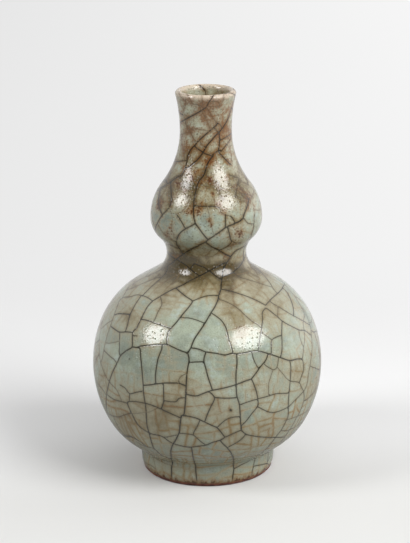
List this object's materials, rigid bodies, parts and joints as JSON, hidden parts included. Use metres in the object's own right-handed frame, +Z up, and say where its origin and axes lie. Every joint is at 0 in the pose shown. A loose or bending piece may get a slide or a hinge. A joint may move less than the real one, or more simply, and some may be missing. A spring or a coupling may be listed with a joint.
{
  "type": "double gourd vase",
  "caption": "Crackle-glazed stoneware vase in double gourd form, with a slim flared neck for a few stems and a turned foot rim.",
  "frame": {"origin": "centre of the foot rim, on the surface that the vase stands on", "axes": "+Z up along the vase's axis of turning; X and Y lie on the surface it stands on"},
  "size_m": [0.1064, 0.1064, 0.18],
  "materials": {
    "stoneware": "fired bare stoneware, pale buff",
    "slip": "fired luting slip, a little darker than the body",
    "crackle_glaze": "thick grey-green celadon glaze, glossy, with stained crackle",
    "lining_glaze": "thinner grey-buff glaze with fine crackle",
    "iron_wash": "matt dark iron-brown wash"
  },
  "bodies": {
    "root": {"foot_ring": "stoneware", "foot_seam_slip": "slip", "lower_bulb_base": "stoneware", "belly_seam_slip": "slip", "lower_bulb_shoulder": "stoneware", "waist_seam_slip": "slip", "upper_bulb_neck": "stoneware", "outer_glaze": "crackle_glaze", "inner_glaze": "lining_glaze", "base_glaze": "lining_glaze", "foot_rim_wash": "iron_wash"}
  },
  "joints": []
}
